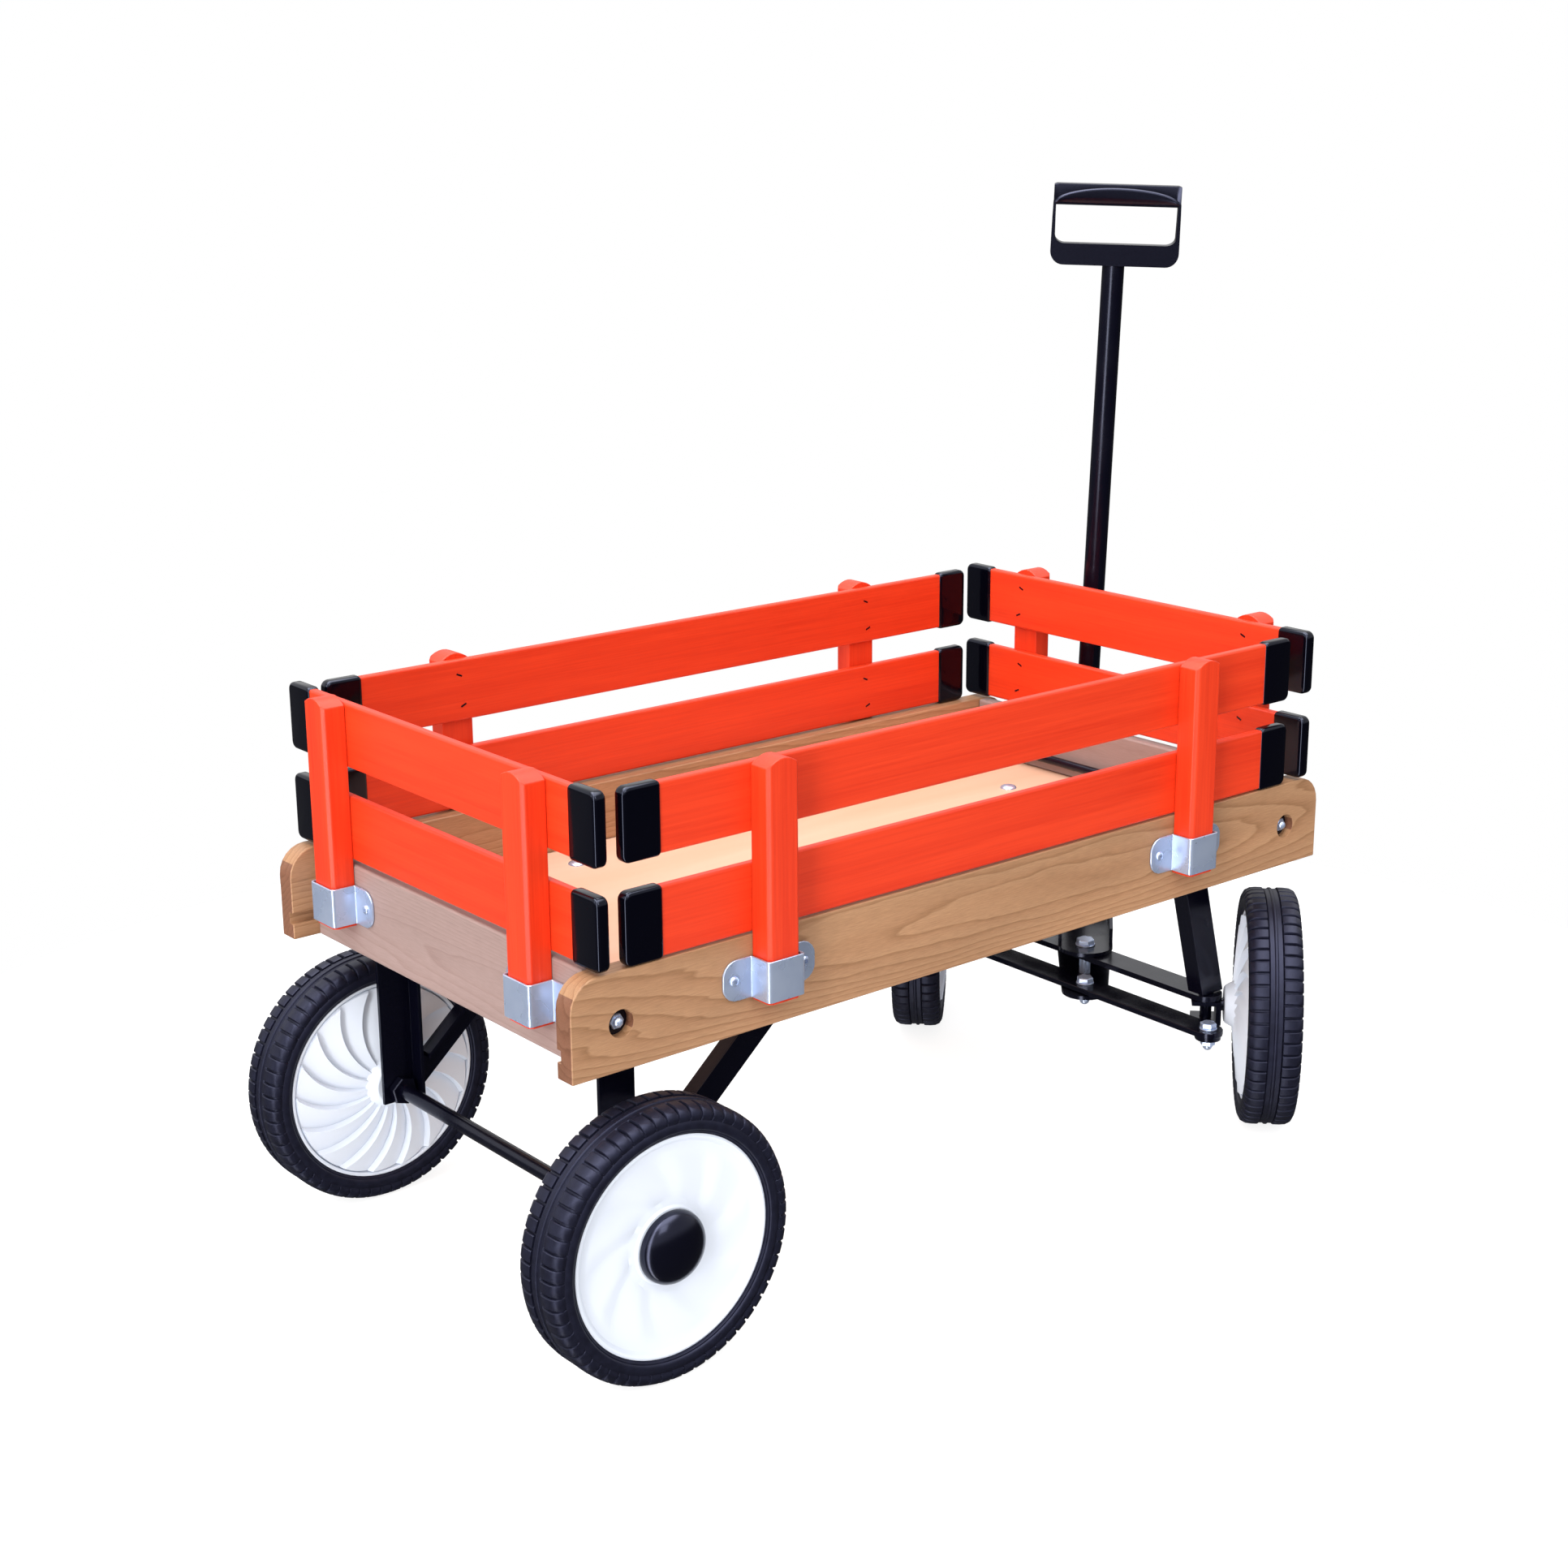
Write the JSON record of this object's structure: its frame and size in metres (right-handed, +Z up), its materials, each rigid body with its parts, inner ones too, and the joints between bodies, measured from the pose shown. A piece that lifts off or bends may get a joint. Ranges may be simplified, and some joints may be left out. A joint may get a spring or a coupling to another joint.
{
  "type": "wagon with pull handle",
  "caption": "Small wooden stake wagon: flat bed with lift-out slatted racks, steered front axle, disc wheels and an upright pull handle with a loop grip.",
  "frame": {"origin": "on the ground under the middle of the overall length and width, as the wagon stands with its front wheels turned; Z = 0 where the wheels stand", "axes": "+X forward towards the handle, +Y to the wagon's left, +Z up"},
  "size_m": [0.872, 0.525, 0.7801],
  "materials": {
    "hardwood": "oiled, satin",
    "plywood": "clear satin",
    "red_paint": "red gloss paint on wood",
    "zinc": "zinc plated",
    "black_steel": "satin black",
    "tyre_rubber": "matt",
    "white_plastic": "semi-gloss",
    "black_plastic": "gloss"
  },
  "bodies": {
    "bed": {"bracket_front_left": "zinc", "bracket_front_right": "zinc", "bracket_left_front": "zinc", "bracket_left_rear": "zinc", "bracket_rear_left": "zinc", "bracket_rear_right": "zinc", "bracket_right_front": "zinc", "bracket_right_rear": "zinc", "cross_rod_front": "zinc", "cross_rod_rear": "zinc", "end_board_front": "hardwood", "end_board_rear": "hardwood", "floor_panel": "plywood", "front_beam": "black_steel", "front_cross_angle": "black_steel", "front_leg_left": "black_steel", "front_leg_right": "black_steel", "rear_axle": "black_steel", "rear_cross_angle": "black_steel", "rear_leg_left": "black_steel", "rear_leg_right": "black_steel", "side_board_left": "hardwood", "side_board_right": "hardwood"},
    "rack_right": {"slat_right_lower": "red_paint", "slat_right_upper": "red_paint", "stake_right_rear": "red_paint", "stake_right_front": "red_paint"},
    "rack_left": {"slat_left_lower": "red_paint", "slat_left_upper": "red_paint", "stake_left_rear": "red_paint", "stake_left_front": "red_paint"},
    "rack_rear": {"slat_rear_lower": "red_paint", "slat_rear_upper": "red_paint", "stake_rear_right": "red_paint", "stake_rear_left": "red_paint"},
    "rack_front": {"slat_front_lower": "red_paint", "slat_front_upper": "red_paint", "stake_front_right": "red_paint", "stake_front_left": "red_paint"},
    "wheel_rear_right": {"tyre_rear_right": "tyre_rubber", "wheel_disc_rear_right": "white_plastic", "hub_cap_rear_right": "black_plastic"},
    "wheel_rear_left": {"tyre_rear_left": "tyre_rubber", "wheel_disc_rear_left": "white_plastic", "hub_cap_rear_left": "black_plastic"},
    "wheel_front_right": {"tyre_front_right": "tyre_rubber", "wheel_disc_front_right": "white_plastic", "hub_cap_front_right": "black_plastic"},
    "wheel_front_left": {"tyre_front_left": "tyre_rubber", "wheel_disc_front_left": "white_plastic", "hub_cap_front_left": "black_plastic"},
    "knuckle_right": {"knuckle_right": "black_steel"},
    "knuckle_left": {"knuckle_left": "black_steel"},
    "tie_rod": {"tie_rod": "black_steel"},
    "yoke": {"steering_yoke": "black_steel", "steering_bolt": "zinc", "tie_rod_bolt": "zinc", "handle_bolt": "zinc"},
    "handle": {"handle_pole": "black_steel", "handle_grip": "black_plastic"}
  },
  "joints": [
    {"name": "steering", "type": "hinge", "parent": "bed", "child": "yoke", "pos_m": [0.29161, 0, 0.1], "axis": [0, 0, 1], "range_deg": [-88, 0]},
    {"name": "knuckle_right_turn", "type": "hinge", "parent": "bed", "child": "knuckle_right", "pos_m": [0.29161, -0.143, 0.1], "axis": [0, 0, 1], "range_deg": [-88, 0]},
    {"name": "knuckle_left_turn", "type": "hinge", "parent": "bed", "child": "knuckle_left", "pos_m": [0.29161, 0.143, 0.1], "axis": [0, 0, 1], "range_deg": [-88, 0]},
    {"name": "tie_rod_turn", "type": "hinge", "parent": "yoke", "child": "tie_rod", "pos_m": [0.2614, -0.02918, 0.092], "axis": [0, 0, 1], "range_deg": [0, 88]},
    {"name": "handle_tilt", "type": "hinge", "parent": "yoke", "child": "handle", "pos_m": [0.38182, 0.08711, 0.132], "axis": [-0.6947, 0.7193, 0], "range_deg": [0, 95]},
    {"name": "wheel_rear_right_spin", "type": "hinge", "parent": "bed", "child": "wheel_rear_right", "pos_m": [-0.33439, -0.1925, 0.1016], "axis": [0, 1, 0], "continuous": true},
    {"name": "wheel_rear_left_spin", "type": "hinge", "parent": "bed", "child": "wheel_rear_left", "pos_m": [-0.33439, 0.1925, 0.1016], "axis": [0, 1, 0], "continuous": true},
    {"name": "wheel_front_right_spin", "type": "hinge", "parent": "knuckle_right", "child": "wheel_front_right", "pos_m": [0.32718, -0.17983, 0.1016], "axis": [-0.6947, 0.7193, 0], "continuous": true},
    {"name": "wheel_front_left_spin", "type": "hinge", "parent": "knuckle_left", "child": "wheel_front_left", "pos_m": [0.25604, 0.17983, 0.1016], "axis": [-0.6947, 0.7193, 0], "continuous": true},
    {"name": "rack_right_lift", "type": "slide", "parent": "bed", "child": "rack_right", "axis": [0, 0, 1], "range_m": [0, 0.2]},
    {"name": "rack_left_lift", "type": "slide", "parent": "bed", "child": "rack_left", "axis": [0, 0, 1], "range_m": [0, 0.2]},
    {"name": "rack_rear_lift", "type": "slide", "parent": "bed", "child": "rack_rear", "axis": [0, 0, 1], "range_m": [0, 0.2]},
    {"name": "rack_front_lift", "type": "slide", "parent": "bed", "child": "rack_front", "axis": [0, 0, 1], "range_m": [0, 0.2]}
  ],
  "couplings": [
    {"joint": "knuckle_right_turn", "follows": "steering", "ratio": 1},
    {"joint": "knuckle_left_turn", "follows": "steering", "ratio": 1},
    {"joint": "tie_rod_turn", "follows": "steering", "ratio": -1}
  ]
}
